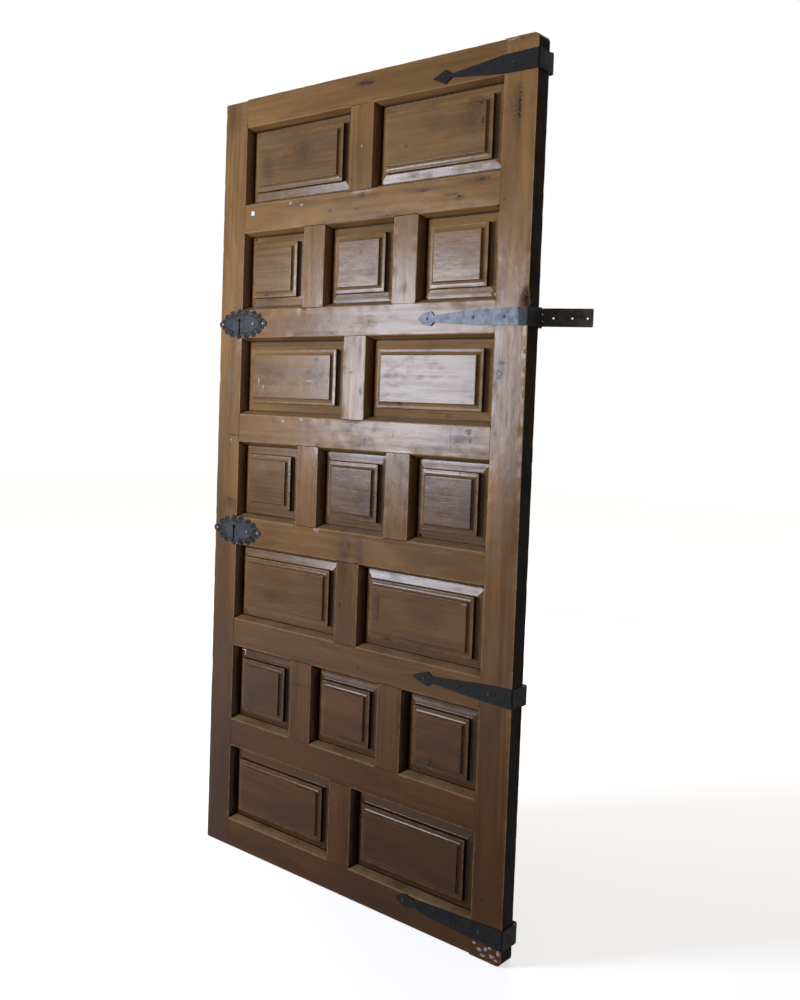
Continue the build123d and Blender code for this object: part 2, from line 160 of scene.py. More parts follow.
# The seeds of the wood's and the iron's wear
WOOD_SEED = 7
IRON_SEED = 11

# The iron pieces in each material slot
SLOT_NODES = {
    "black_iron": ("strap_top", "strap_third", "strap_bottom"),
    "grey_steel": ("strap_lock_rail",),
    "dark_steel": ("hinge_frame_leaf", "hinge_pin"),
    "key_plate_iron": ("key_plate_upper", "key_plate_lower"),
    "lock_iron": (
        "lock_plate_upper", "lock_plate_lower", "lock_case_upper", "lock_case_lower",
        "lock_bolt_upper", "lock_bolt_lower",
    ),
}

# Marks of age on the front: distance from the lock edge and down from the top, and reach each way, in mm.
# They fade with depth, and count for nothing far away.
MARK_DEPTH = 0.025
MARK_FAR = 9.0
FRAME_KNOTS = (
    (505, 24, 14, 4), (527, 28, 10, 3), (967, 150, 4, 46), (935, 346, 3, 3), (513, 295, 9, 7),
    (705, 304, 13, 3), (874, 295, 14, 4), (790, 321, 15, 3), (813, 329, 9, 5), (404, 323, 6, 3),
    (494, 327, 5, 2), (595, 353, 17, 3), (424, 632, 14, 4), (474, 718, 7, 3), (495, 729, 8, 2),
    (531, 776, 4, 11), (947, 706, 9, 5), (942, 730, 12, 11), (937, 860, 4, 6), (966, 835, 2, 18),
    (814, 880, 1, 34), (863, 860, 7, 7), (869, 880, 4, 6), (503, 861, 6, 2), (640, 878, 2, 6),
    (550, 900, 1.6, 8), (66, 905, 19, 2), (55, 1084, 9, 5), (508, 1160, 2, 18), (484, 1313, 4, 14),
    (553, 1463, 3, 5), (342, 1545, 13, 2), (953, 1916, 7, 6), (1004, 566, 9, 22),
)
PANEL_KNOTS = (
    (863, 125, 5, 5), (868, 168, 3, 9), (647, 195, 3, 3), (174, 527, 13, 4), (516, 433, 4, 3),
    (542, 550, 3, 5), (753, 549, 5, 2), (375, 698, 7, 6), (789, 829, 8, 6), (745, 821, 15, 3),
    (652, 803, 6, 5), (553, 1087, 11, 4), (839, 950, 5, 8), (805, 1266, 6, 2), (611, 1300, 2, 32),
    (640, 1376, 18, 5), (748, 1376, 24, 7), (789, 1638, 5, 8), (800, 1652, 70, 5), (530, 1652, 52, 4),
)
FRAME_CHIPS = (
    (326, 853, 7, 4), (258, 860, 5, 4), (442, 874, 12, 2),
    (263, 292, 5, 4), (305, 300, 6, 3), (55, 918, 4, 3), (507, 175, 2, 4), (935, 2021, 5, 3),
    (950, 2031, 8, 4), (968, 2025, 5, 5), (985, 2036, 9, 4), (1001, 2022, 5, 6), (996, 2041, 6, 3),
    (960, 2042, 9, 3), (978, 2019, 4, 3),
)
PANEL_CHIPS = ((158, 755, 3, 9), (350, 753, 16, 2), (176, 772, 3, 6), (870, 1255, 9, 2))
FRAME_STAINS = (
    (30, 40, 48, 56), (985, 0, 50, 14), (312, 298, 70, 13), (992, 560, 28, 32), (965, 2032, 62, 24),
    (510, 26, 50, 11), (942, 718, 32, 46), (60, 1092, 34, 22), (700, 303, 66, 8), (862, 296, 62, 9),
    (842, 872, 54, 24), (20, 2022, 70, 34), (500, 868, 40, 16), (545, 905, 24, 16), (410, 632, 40, 8),
    (25, 1640, 78, 440), (960, 150, 16, 60), (490, 1190, 22, 70), (545, 1180, 18, 60), (330, 1545, 60, 9),
    (955, 1500, 30, 90),
)
PANEL_STAINS = (
    (604, 1292, 13, 56), (800, 1644, 60, 12), (548, 1052, 26, 34), (750, 824, 80, 12), (300, 160, 40, 40),
    (170, 190, 30, 46), (840, 130, 40, 60), (640, 470, 30, 22), (380, 740, 50, 22), (240, 1330, 60, 20),
    (760, 1300, 60, 40), (860, 1040, 26, 40), (170, 1610, 30, 40), (330, 1900, 80, 30),
)


def rgb(red, green, blue):
    """A colour given from 0 to 255, as the renderer's linear values."""
    def linear(value):
        value /= 255
        return value / 12.92 if value <= 0.04045 else ((value + 0.055) / 1.055) ** 2.4
    return linear(red), linear(green), linear(blue), 1.0


# What age has left on the wood; the hollows' colour also paints shade, and the ledges' colour also paints
# light
GRIME = rgb(60, 42, 31)
SPECK = rgb(40, 27, 20)
STAIN = rgb(46, 31, 19)
KNOT_HALO = rgb(70, 46, 30)
KNOT_HOLE = rgb(20, 12, 8)
BARE_WOOD = rgb(178, 164, 148)
WORN_WOOD = rgb(152, 116, 78)
HOLLOW_SHADE_AND_DIRT = rgb(20, 12, 7)
LEDGE_DUST_AND_LIGHT = rgb(134, 112, 84)
DARK_EDGE = rgb(24, 20, 17)


def on_front(across, down):
    """A place on the leaf's face, from its distances in mm from the lock edge and from the top."""
    return Vector((LOCK_EDGE + across / 1000, FRONT, RAIL_TOP - down / 1000))


def find_openings():
    """The openings' outlines at the leaf's face, as (left, right, low, high)."""
    openings = []
    for row, count in enumerate(ROW_PANELS, 1):
        for column in range(1, count + 1):
            low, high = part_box(f"panel_{row}_{column}")
            margin = SPLAY_W - TONGUE_L
            openings.append((low.x - margin, high.x + margin, low.z - margin, high.z + margin))
    return openings


OPENINGS = find_openings()


class Nodes:
    """A node tree being put together."""

    def __init__(self, tree):
        self.tree = tree

    def feed(self, socket, value):
        if isinstance(value, bpy.types.NodeSocket):
            self.tree.links.new(value, socket)
        else:
            socket.default_value = value

    def add(self, kind, inputs, **settings):
        node = self.tree.nodes.new("ShaderNode" + kind)
        for setting, value in settings.items():
            setattr(node, setting, value)
        for key, value in inputs.items():
            self.feed(node.inputs[key], value)
        return node

    def math(self, operation, first, second=0.0):
        return self.add("Math", {0: first, 1: second}, operation=operation).outputs[0]

    def mask(self, value, start, end, low=0.0, high=1.0):
        """Runs smoothly from low to high as value goes from start to end."""
        inputs = {"Value": value, "From Min": start, "From Max": end, "To Min": low, "To Max": high}
        return self.add("MapRange", inputs, interpolation_type="SMOOTHSTEP").outputs[0]

    def mix(self, factor, first, second, blend="MIX"):
        inputs = {0: factor, 6: first, 7: second}
        return self.add("Mix", inputs, data_type="RGBA", blend_type=blend).outputs[2]

    def seen(self):
        """1 where a thing is seen, directly, in gloss or through glass, and 0 where it lights others."""
        path = self.add("LightPath", {}).outputs
        seen = self.math("MAXIMUM", path["Is Camera Ray"], path["Is Glossy Ray"])
        return self.math("MAXIMUM", seen, path["Is Transmission Ray"])


class Shader(Nodes):
    """A node material being put together."""

    def __init__(self, name, **constants):
        self.material = bpy.data.materials.new(name)
        self.material.use_nodes = True
        super().__init__(self.material.node_tree)
        self.surface = self.tree.nodes["Principled BSDF"]
        for socket, value in constants.items():
            self.surface.inputs[socket.replace("_", " ")].default_value = value

    def set(self, socket, value):
        self.feed(self.surface.inputs[socket], value)

    def attribute(self, name, output="Fac"):
        return self.add("Attribute", {}, attribute_name=name).outputs[output]

    def place(self):
        return self.add("TexCoord", {}).outputs["Object"]

    def parts(self, vector):
        return self.add("SeparateXYZ", {0: vector}).outputs

    def length(self, vector):
        return self.add("VectorMath", {0: vector}, operation="LENGTH").outputs["Value"]

    def scaled(self, vector, factors):
        return self.add("VectorMath", {0: vector, 1: factors}, operation="MULTIPLY").outputs[0]

    def noise(self, vector, scale=1.0, detail=3.0, rough=0.5, distortion=0.0):
        inputs = {
            "Vector": vector, "Scale": scale, "Detail": detail,
            "Roughness": rough, "Distortion": distortion,
        }
        return self.add("TexNoise", inputs).outputs[0]

    def cells(self, vector, scale, output="Distance"):
        return self.add("TexVoronoi", {"Vector": vector, "Scale": scale}).outputs[output]

    def rings(self, vector, scale, distortion, detail_scale):
        inputs = {
            "Vector": vector, "Scale": scale, "Distortion": distortion,
            "Detail": 2.0, "Detail Scale": detail_scale,
        }
        return self.add("TexWave", inputs, wave_type="RINGS", rings_direction="X").outputs["Fac"]

    def bump(self, height, distance, strength=1.0, normal=None):
        inputs = {"Height": height, "Distance": distance, "Strength": strength}
        if normal is not None:
            inputs["Normal"] = normal
        return self.add("Bump", inputs).outputs["Normal"]

    def marks(self, spots, ragged):
        """How many reaches a point lies from the nearest of some spots, broken up by noise."""
        place = self.place()
        nearest = MARK_FAR
        for across, down, reach_x, reach_z in spots:
            factors = Vector((1000 / reach_x, 1 / MARK_DEPTH, 1000 / reach_z))
            inputs = {0: place, 1: factors, 2: -(on_front(across, down) * factors)}
            local = self.add("VectorMath", inputs, operation="MULTIPLY_ADD").outputs[0]
            nearest = self.math("MINIMUM", nearest, self.length(local))
        rough = self.noise(place, scale=190.0, detail=4.0, rough=0.7)
        return self.math("ADD", nearest, self.math("MULTIPLY", self.math("SUBTRACT", rough, 0.5), ragged))


def wood_figure(shader, light, middle, dark):
    """Grain, colour, streaks, fibres and knots of one board, from its own grain coordinates in metres."""
    grain = shader.attribute("grain", "Vector")
    wander = shader.noise(shader.scaled(grain, (2.5, 9.0, 9.0)), detail=2.0)
    broad = shader.noise(shader.scaled(grain, (3.0, 16.0, 16.0)), detail=4.0, rough=0.6, distortion=0.6)
    rings = shader.rings(shader.scaled(grain, (0.10, 1.0, 1.0)), 34.0, 9.0, 0.35)
    fibre = shader.noise(shader.scaled(grain, (14.0, 420.0, 420.0)), detail=3.0, rough=0.6)
    streak = shader.noise(shader.scaled(grain, (5.0, 110.0, 110.0)), detail=3.0, rough=0.6, distortion=0.3)
    colour = shader.mix(shader.mask(broad, 0.30, 0.70), light, middle)
    rings = shader.math("MULTIPLY", rings, shader.mask(wander, 0.4, 0.7, 0.03, 0.32))
    colour = shader.mix(rings, colour, dark)
    colour = shader.mix(shader.mask(streak, 0.5, 0.75, 0.0, 0.20), colour, dark)
    colour = shader.mix(shader.mask(fibre, 0.4, 0.75, 0.0, 0.14), colour, dark)
    cell = shader.scaled(grain, (3.6, 6.5, 6.5))
    chosen = shader.mask(shader.parts(shader.cells(cell, 1.0, "Color"))[0], 0.66, 0.7)
    away = shader.cells(cell, 1.0)
    knot = shader.math("MULTIPLY", shader.mask(away, 0.11, 0.03), chosen)
    halo = shader.math("MULTIPLY", shader.mask(away, 0.36, 0.08), chosen)
    colour = shader.mix(shader.math("MULTIPLY", halo, 0.4), colour, dark)
    colour = shader.mix(shader.math("MULTIPLY", knot, 0.7), colour, rgb(34, 22, 15))
    return grain, colour, streak, fibre, knot


def finish_wood(shader, figure, ridge, hollow_shade_and_dirt, marks, tint, foot_dirt_and_shade):
    """Board tone, age, marks, worn ridges, dirty valleys, gloss and relief."""
    grain, colour, streak, fibre, knot = figure
    knots, chips, stains = marks

    # Each board's own tone, and darker towards the foot of the leaf: partly dirt, partly painted shade for
    # light falling off downward
    colour = shader.mix(shader.math("MULTIPLY", shader.attribute("tone"), 0.38), colour, tint)
    height = shader.parts(shader.place())[2]
    colour = shader.mix(shader.mask(height, 1.6, 0.1, 0.0, 0.9), colour, foot_dirt_and_shade, "MULTIPLY")

    # Grime in patches and specks
    patches = shader.noise(shader.scaled(grain, (11.0, 20.0, 20.0)), detail=5.0, rough=0.65)
    colour = shader.mix(shader.mask(patches, 0.56, 0.74, 0.0, 0.4), colour, GRIME)
    specks = shader.noise(shader.scaled(grain, (90.0, 170.0, 170.0)), detail=2.0)
    colour = shader.mix(shader.mask(specks, 0.70, 0.78, 0.0, 0.55), colour, SPECK)

    # The stains, knots and bare chips that have a place of their own
    colour = shader.mix(shader.mask(shader.marks(stains, 2.8), 1.3, 0.1, 0.0, 0.44), colour, STAIN)
    colour = shader.mix(shader.mask(shader.marks(knots, 2.2), 2.4, 0.7, 0.0, 0.42), colour, KNOT_HALO)
    hole = shader.mask(shader.marks(knots, 4.6), 0.9, 0.3, 0.0, 0.92)
    colour = shader.mix(hole, colour, KNOT_HOLE)
    bare = shader.mask(shader.marks(chips, 3.2), 1.1, 0.6, 0.0, 0.8)
    colour = shader.mix(bare, colour, BARE_WOOD)

    # Pale worn ridges, painted shade with some dirt in the hollows except on faces turned up, dust with
    # painted light on those upward ledges, and the hinge edge darkened nearly to black
    colour = shader.mix(shader.math("MULTIPLY", ridge, 0.42), colour, WORN_WOOD)
    ledge = shader.attribute("ledge")
    hollow_shade_and_dirt = shader.math("MULTIPLY", hollow_shade_and_dirt, shader.math("SUBTRACT", 1.0, ledge))
    colour = shader.mix(hollow_shade_and_dirt, colour, HOLLOW_SHADE_AND_DIRT)
    # Upward ledges made paler: partly dust, partly painted light
    ledge_dust_and_light = shader.math("MULTIPLY", ledge, shader.mask(patches, 0.35, 0.6, 0.25, 0.6))
    colour = shader.mix(ledge_dust_and_light, colour, LEDGE_DUST_AND_LIGHT)
    side = shader.attribute("side")
    colour = shader.mix(shader.math("MULTIPLY", side, 0.94), colour, DARK_EDGE)
    shader.set("Base Color", colour)

    # Gloss, duller where the varnish has gone
    dull = shader.math("MAXIMUM", shader.math("MAXIMUM", ridge, side), bare)
    rough = shader.mask(streak, 0.3, 0.7, 0.17, 0.25)
    rough = shader.math("ADD", rough, shader.mask(patches, 0.50, 0.72, 0.0, 0.16))
    rough = shader.math("ADD", rough, shader.math("MULTIPLY", dull, 0.3))
    rough = shader.math("ADD", rough, shader.math("MULTIPLY", side, 0.35))
    shader.set("Roughness", rough)

    # Fibres and pits over shallow dents
    relief = shader.math("ADD", shader.math("MULTIPLY", fibre, 0.35), shader.math("MULTIPLY", streak, 0.65))
    pits = shader.math("MAXIMUM", knot, hole)
    relief = shader.math("SUBTRACT", relief, shader.math("MULTIPLY", pits, 0.8))
    dents = shader.noise(shader.scaled(grain, (26.0, 34.0, 34.0)), detail=2.0)
    normal = shader.bump(dents, 0.0012, 0.35)
    shader.set("Normal", shader.bump(relief, 0.0005, 0.32, normal))


def make_frame_wood():
    """Varnished stiles, rails and muntins."""
    shader = Shader("frame wood", Specular_IOR_Level=0.135)
    figure = wood_figure(shader, rgb(162, 119, 70), rgb(128, 92, 53), rgb(70, 45, 25))
    broken = shader.noise(shader.scaled(figure[0], (60.0, 60.0, 60.0)), detail=4.0)
    reach = shader.math("SUBTRACT", shader.attribute("rim"), shader.math("MULTIPLY", broken, 0.007))
    ridge = shader.mask(reach, 0.0004, -0.0030)
    depth = shader.attribute("depth")
    # Painted shade: the deep part of each opening's splay is darkened as if out of the light
    hollow_shade_and_dirt = shader.mask(depth, 0.014, 0.021, 0.0, 0.7)
    marks = (FRAME_KNOTS, FRAME_CHIPS, FRAME_STAINS)
    finish_wood(shader, figure, ridge, hollow_shade_and_dirt, marks, rgb(80, 54, 30), rgb(124, 92, 32))
    return shader.material


def make_panel_wood():
    """The slightly darker boards of the raised panels."""
    shader = Shader("panel wood", Specular_IOR_Level=0.145)
    figure = wood_figure(shader, rgb(144, 107, 64), rgb(112, 82, 49), rgb(62, 41, 25))
    inset = shader.attribute("inset")
    worn = shader.mask(shader.noise(shader.scaled(figure[0], (40.0, 40.0, 40.0)), detail=3.0), 0.40, 0.62)
    from_list = shader.math("ABSOLUTE", shader.math("SUBTRACT", inset, (LIST_START + LIST_END) / 2))
    from_field = shader.math("ABSOLUTE", shader.math("SUBTRACT", inset, FIELD_START))
    list_edge = shader.mask(from_list, 0.0024, 0.0012)
    field_edge = shader.mask(from_field, 0.0014, 0.0004)
    ridge = shader.math("MULTIPLY", shader.math("MAXIMUM", list_edge, field_edge), worn)
    front = shader.mask(shader.parts(shader.place())[1], -0.003, 0.0, 1.0, 0.0)
    ridge = shader.math("MULTIPLY", ridge, shader.math("MULTIPLY", front, 0.5))
    # Painted shade, with some dirt, along the panel's foot where it meets the frame, and a painted shadow
    # line in the narrow step beside the list
    foot = shader.mask(inset, 0.0035, 0.0, 0.0, 0.85)
    quirk_shadow = shader.math("ABSOLUTE", shader.math("SUBTRACT", inset, LIST_START - 0.0004))
    quirk_shadow = shader.math("MULTIPLY", shader.mask(quirk_shadow, 0.0010, 0.0002, 0.0, 0.8), front)
    hollow_shade_and_dirt = shader.math("MAXIMUM", foot, quirk_shadow)
    marks = (PANEL_KNOTS, PANEL_CHIPS, PANEL_STAINS)
    finish_wood(shader, figure, ridge, hollow_shade_and_dirt, marks, rgb(74, 52, 32), rgb(138, 104, 38))
    return shader.material


def make_iron(name, light, dark, rust_and_glint, roughness, metallic):
    """Forged iron with a mottled, hammered skin and worn arrises; its fine flecks are rusty, or painted
    glints where their colour is pale.
    """
    shader = Shader(name, Metallic=metallic, Specular_IOR_Level=0.10)
    place = shader.place()
    mottle = shader.noise(place, scale=38.0, detail=5.0, rough=0.65)
    fine = shader.noise(place, scale=240.0, detail=3.0, rough=0.6)
    hammer = shader.cells(place, 85.0)
    colour = shader.mix(shader.mask(mottle, 0.36, 0.64), dark, light)
    colour = shader.mix(shader.mask(fine, 0.58, 0.72, 0.0, 0.6), colour, rust_and_glint)
    shader.set("Base Color", colour)
    shader.set("Roughness", shader.mask(mottle, 0.3, 0.7, roughness - 0.1, roughness + 0.12))
    normal = shader.bump(hammer, 0.0011, 0.45)
    relief = shader.math("ADD", mottle, shader.math("MULTIPLY", fine, 0.3))
    shader.set("Normal", shader.bump(relief, 0.0008, 0.6, normal))
    return shader.material


def make_grey_iron():
    """Bare mottled strap, with painted shade, near black, where it turns round the edge."""
    shader = Shader("bare grey iron", Metallic=0.25, Specular_IOR_Level=0.15)
    place = shader.place()
    mottle = shader.noise(place, scale=46.0, detail=6.0, rough=0.7)
    blotch = shader.noise(place, scale=17.0, detail=3.0, rough=0.6)
    tint = shader.noise(place, scale=30.0, detail=2.0)
    colour = shader.mix(shader.mask(mottle, 0.38, 0.62), rgb(68, 73, 80), rgb(122, 126, 134))
    colour = shader.mix(shader.mask(tint, 0.52, 0.7, 0.0, 0.4), colour, rgb(92, 108, 102))
    colour = shader.mix(shader.mask(tint, 0.46, 0.3, 0.0, 0.4), colour, rgb(106, 96, 120))
    colour = shader.mix(shader.mask(blotch, 0.55, 0.68, 0.0, 0.75), colour, rgb(50, 54, 60))
    # Painted shade near the hinge edge, where the strap turns round it
    ragged = shader.math("ADD", shader.parts(place)[0], shader.math("MULTIPLY", blotch, 0.016))
    edge_shade = shader.mask(ragged, HINGE_EDGE - 0.020, HINGE_EDGE - 0.012)
    colour = shader.mix(edge_shade, colour, rgb(34, 34, 36))
    shader.set("Base Color", colour)
    shader.set("Roughness", shader.mask(mottle, 0.3, 0.7, 0.42, 0.6))
    normal = shader.bump(shader.cells(place, 85.0), 0.0010, 0.4)
    shader.set("Normal", shader.bump(mottle, 0.0010, 0.6, normal))
    return shader.material


def welded_mesh(node):
    """The node's own mesh, welded, with each flat area as one face where it can be."""
    mesh = bmesh.new()
    mesh.from_mesh(NODES[node].data)
    bmesh.ops.remove_doubles(mesh, verts=mesh.verts, dist=WELD)
    bmesh.ops.dissolve_limit(
        mesh, angle_limit=FLAT_ANGLE, verts=mesh.verts, edges=mesh.edges, use_dissolve_boundaries=False
    )
    return mesh


def slice_mesh(mesh, axis, low, high, step):
    """Cut the mesh across an axis into slices of about one step."""
    count = max(1, round((high - low) / step))
    normal = [0.0, 0.0, 0.0]
    normal[axis] = 1.0
    for number in range(1, count):
        point = [0.0, 0.0, 0.0]
        point[axis] = low + (high - low) * number / count
        whole = mesh.verts[:] + mesh.edges[:] + mesh.faces[:]
        bmesh.ops.bisect_plane(mesh, geom=whole, dist=WELD, plane_co=point, plane_no=normal)


def bevel_edges(mesh, edges, width, segments=2):
    """Round some edges off."""
    bmesh.ops.bevel(
        mesh, geom=edges, offset=width, segments=segments, profile=0.6, affect="EDGES", clamp_overlap=True
    )


def rim_gap(co):
    """How far a point lies from the nearest arris of the leaf's outline or of an opening, front or back."""
    front, back = co.y - FRONT, BACK - co.y
    outline = min(co.x - LOCK_EDGE, HINGE_EDGE - co.x, LEAF_HIGH.z - co.z, co.z - LEAF_LOW.z)
    gap = math.hypot(outline, min(front, back))
    for left, right, low, high in OPENINGS:
        outside = max(left - co.x, co.x - right, low - co.z, co.z - high)
        gap = min(gap, math.hypot(outside, front), math.hypot(outside + SPLAY_W, back))
    return gap


def publish(mesh, node, material, layers, creases=()):
    """Turn a finished bmesh into the piece that stands for a node, with its attribute layers."""
    data = bpy.data.meshes.new(node + "_worn")
    bmesh.ops.recalc_face_normals(mesh, faces=mesh.faces)
    mesh.to_mesh(data)
    mesh.free()
    for name, domain, values in layers:
        if isinstance(values[0], tuple):
            layer = data.attributes.new(name, "FLOAT_VECTOR", domain)
            layer.data.foreach_set("vector", [part for value in values for part in value])
        else:
            layer = data.attributes.new(name, "FLOAT", domain)
            layer.data.foreach_set("value", values)
    data.shade_smooth()
    data.set_sharp_from_angle(angle=SHARP_ANGLE)
    for number in creases:
        data.edges[number].use_edge_sharp = True
    data.materials.append(material)
    piece = bpy.data.objects.new(node + "_worn", data)
    bpy.context.scene.collection.objects.link(piece)
    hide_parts(node)
    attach(piece, BODY_OF[node])


def random_offset(generator):
    """Where in the noise one piece's wear is taken from."""
    return Vector((generator.uniform(0, 9), generator.uniform(0, 9), generator.uniform(0, 9)))


def strap_bruise(co):
    """Depth of the splintered arris of the hinge stile above the second strap."""
    top, foot = on_front(0, BRUISE_TOP).z, on_front(0, BRUISE_FOOT).z
    if not foot < co.z < top:
        return 0.0
    width = BRUISE_W * (top - co.z) / (top - foot)
    return max(0.0, co.x - (HINGE_EDGE - width)) * BRUISE_SLOPE


def make_board(node, low, high, along, material, generator):
    """A worn copy of a stile, rail or muntin. Its body runs from low to high, without tenons and splays."""
    mesh = welded_mesh(node)
    arrises = []
    for edge in mesh.edges:
        on_face = any(all(abs(vert.co.y - y) < WELD for vert in edge.verts) for y in (FRONT, BACK))
        if not on_face or len(edge.link_faces) != 2 or edge.calc_face_angle(0.0) < BOARD_ANGLE:
            continue
        middle = (edge.verts[0].co + edge.verts[1].co) / 2
        if rim_gap(middle) < 10 * WELD:
            arrises.append(edge)
    bevel_edges(mesh, arrises, BOARD_ARRIS, 3)
    across = 2 - along
    slice_mesh(mesh, along, low[along], high[along], CELL)
    slice_mesh(mesh, across, low[across], high[across], CELL_ACROSS)
    slice_mesh(mesh, 1, FRONT, BACK, CELL_THROUGH)
    mesh.normal_update()
    offset = random_offset(generator)
    rest = [vert.co.copy() for vert in mesh.verts]
    rim = [rim_gap(co) for co in rest]
    moves = []
    for vert, gap in zip(mesh.verts, rim):
        gone = BOARD_WEAR * (0.5 + 0.5 * noise.noise(vert.co * 9.0 + offset))
        if gap < CHIP_REACH:
            chip = max(0.0, noise.noise(vert.co * 38.0 + offset) + 0.22)
            gone += CHIP_DEPTH * chip * chip
        in_tenon = not low[along] - WELD < vert.co[along] < high[along] + WELD
        moves.append(Vector() if in_tenon else vert.normal * -gone)
    for vert, move in zip(mesh.verts, moves):
        vert.co += move
        if node == "stile_hinge" and vert.co.y < FRONT + BRUISE_DEPTH:
            vert.co.y += strap_bruise(vert.co)
    center = [(a + b) / 2 for a, b in zip(low, high)]
    heart = generator.uniform(-0.02, 0.02)
    depth = generator.choice((-1, 1)) * generator.uniform(0.03, 0.06)
    shift = generator.uniform(0, 40)
    grain = [(co[along] + shift, co[across] - center[across] + heart, co.y + depth) for co in rest]
    tone = generator.random()
    sunk = []
    for co in rest:
        inside = any(a < co.x < b and c < co.z < d for a, b, c, d in OPENINGS)
        sunk.append(co.y - FRONT if inside else 0.0)
    side = []
    ledge = []
    for face in mesh.faces:
        middle = face.calc_center_median()
        side.append(float(face.normal.x > 0.9 and middle.x > HINGE_EDGE - 0.003))
        ledge.append(float(face.normal.z > 0.35 and 0.0004 < middle.y - FRONT < SPLAY_DEPTH))
    layers = (
        ("grain", "POINT", grain), ("rim", "POINT", rim), ("depth", "POINT", sunk),
        ("tone", "POINT", [tone] * len(rest)), ("side", "FACE", side), ("ledge", "FACE", ledge),
    )
    publish(mesh, node, material, layers)


def make_panel(node, material, generator):
    """A worn copy of a raised panel."""
    low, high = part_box(node)
    low = low + Vector((TONGUE_L, 0, TONGUE_L))
    high = high - Vector((TONGUE_L, 0, TONGUE_L))
    mesh = welded_mesh(node)
    ridges = [
        edge for edge in mesh.edges
        if len(edge.link_faces) == 2
        and edge.calc_face_angle_signed(0.0) > PANEL_ANGLE
        and all(low.x + RIDGE_START < vert.co.x < high.x - RIDGE_START for vert in edge.verts)
        and all(vert.co.y < 0.0 for vert in edge.verts)
    ]
    bevel_edges(mesh, ridges, PANEL_ARRIS)
    slice_mesh(mesh, 0, low.x, high.x, CELL)
    slice_mesh(mesh, 2, low.z, high.z, CELL)
    mesh.normal_update()
    offset = random_offset(generator)
    rest = [vert.co.copy() for vert in mesh.verts]
    moves = [
        vert.normal * -PANEL_WEAR * (0.5 + 0.5 * noise.noise(vert.co * 8.0 + offset)) for vert in mesh.verts
    ]
    inset = [min(co.x - low.x, high.x - co.x, co.z - low.z, high.z - co.z) for co in rest]
    for vert, move, reach in zip(mesh.verts, moves, inset):
        if -WELD < reach < LIST_START + 0.0002 and BEVEL_NEAR < vert.co.y - FRONT < BEVEL_FAR:
            vert.co.y += BEVEL_DROP * (max(reach, 0.0) / LIST_START) ** BEVEL_CURVE
        vert.co += move
    center = (low + high) / 2
    shift = generator.uniform(0, 40)
    heart = generator.uniform(-0.04, 0.04)
    depth = generator.uniform(0.03, 0.08)
    grain = [(co.x + shift, co.z - center.z + heart, co.y + depth) for co in rest]
    tone = generator.random()
    layers = (
        ("grain", "POINT", grain), ("inset", "POINT", inset), ("tone", "POINT", [tone] * len(rest)),
        ("side", "FACE", [0.0] * len(mesh.faces)), ("ledge", "FACE", [0.0] * len(mesh.faces)),
    )
    mesh.verts.index_update()
    mesh.edges.index_update()
    on_mitre = []
    for co in rest:
        gaps = sorted((co.x - low.x, high.x - co.x, co.z - low.z, high.z - co.z))
        on_mitre.append(gaps[1] - gaps[0] < 2 * WELD)
    mitres = [edge.index for edge in mesh.edges if all(on_mitre[vert.index] for vert in edge.verts)]
    publish(mesh, node, material, layers, mitres)


def make_wood():
    """Every wooden piece of the leaf."""
    generator = random.Random(WOOD_SEED)
    frame_wood = make_frame_wood()
    panel_wood = make_panel_wood()
    inner_x = HINGE_EDGE - (LEAF_HIGH.x - LEAF_LOW.x) + SPLAY_W
    for node in sorted(NODES):
        low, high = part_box(node)
        if node.startswith("stile"):
            make_board(node, low, high, 2, frame_wood, generator)
        elif node.startswith("rail"):
            low.x, high.x = -inner_x, inner_x
            make_board(node, low, high, 0, frame_wood, generator)
        elif node.startswith("muntin"):
            low.z, high.z = low.z + MUNTIN_TENON_L, high.z - MUNTIN_TENON_L
            make_board(node, low, high, 2, frame_wood, generator)
        elif node.startswith("panel"):
            make_panel(node, panel_wood, generator)


def make_forged(node, material, arris, dent, generator):
    """A hand-forged copy of an iron node: softened arrises and a faintly beaten surface."""
    mesh = welded_mesh(node)
    sharp = [
        edge for edge in mesh.edges
        if len(edge.link_faces) == 2 and edge.calc_face_angle(0.0) > IRON_ANGLE
    ]
    bevel_edges(mesh, sharp, arris)
    low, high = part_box(node)
    slice_mesh(mesh, 0, low.x, high.x, CELL_IRON)
    slice_mesh(mesh, 2, low.z, high.z, CELL_IRON)
    mesh.normal_update()
    offset = random_offset(generator)
    moves = [
        vert.normal * -dent * (0.5 + 0.5 * noise.noise(vert.co * 60.0 + offset)) for vert in mesh.verts
    ]
    for vert, move in zip(mesh.verts, moves):
        vert.co += move
    publish(mesh, node, material, ())


def on_ring(center, ring, turn):
    """The point of an upright oval at an angle, from its half width and half height."""
    return Vector((center.x + ring[0] * math.cos(turn), center.y, center.z + ring[1] * math.sin(turn)))


